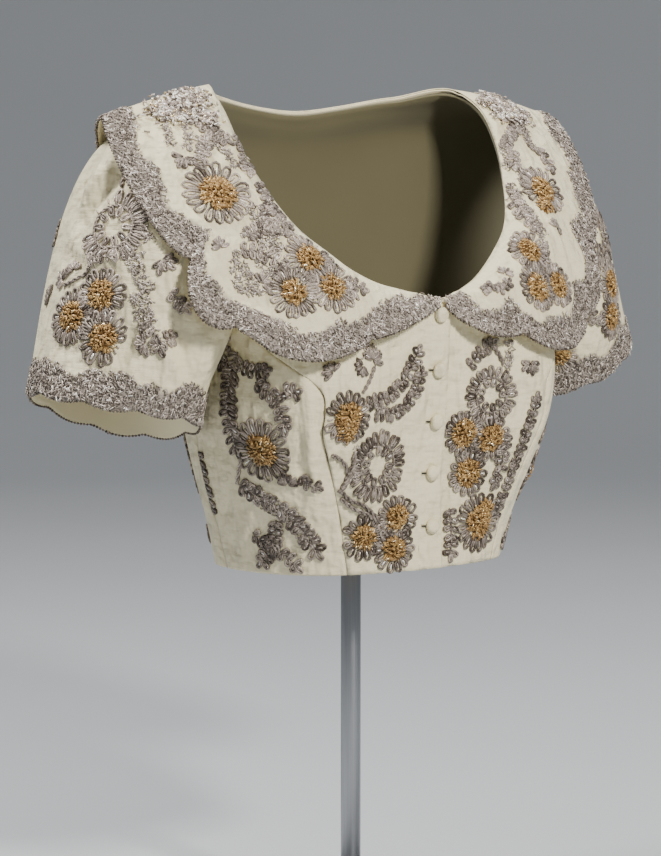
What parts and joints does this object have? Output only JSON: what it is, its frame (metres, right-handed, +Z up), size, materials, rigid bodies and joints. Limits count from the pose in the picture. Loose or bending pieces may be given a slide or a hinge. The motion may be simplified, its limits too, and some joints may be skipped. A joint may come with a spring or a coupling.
{
  "type": "bolero jacket on a limbless display form with a pole stand",
  "caption": "Short-sleeved ivory bolero with a wide scalloped collar, beaded flowers and covered buttons, filled out on a hollow display form and a steel pole stand.",
  "frame": {"origin": "centre of the underside of the stand's round base plate", "axes": "+Z up along the pole, +X towards the wearer's left, -Y the jacket's front"},
  "size_m": [0.6322, 0.2738, 0.75],
  "materials": {
    "ivory_cloth": "soft matt silk cloth with pewter and gold beadwork",
    "button_cloth": "cloth-covered domed buttons",
    "olive_form": "smooth matt olive form covering",
    "board_wood": "plain sanded board",
    "stand_steel": "satin steel"
  },
  "bodies": {
    "root": {"back": "ivory_cloth", "front_left": "ivory_cloth", "front_right": "ivory_cloth", "side_front_left": "ivory_cloth", "side_front_right": "ivory_cloth", "sleeve_left": "ivory_cloth", "sleeve_right": "ivory_cloth", "collar": "ivory_cloth", "button_1": "button_cloth", "button_2": "button_cloth", "button_3": "button_cloth", "button_4": "button_cloth", "button_5": "button_cloth", "form": "olive_form", "form_board": "board_wood", "stand_flange": "stand_steel", "stand_pole": "stand_steel", "stand_base": "stand_steel"}
  },
  "joints": []
}
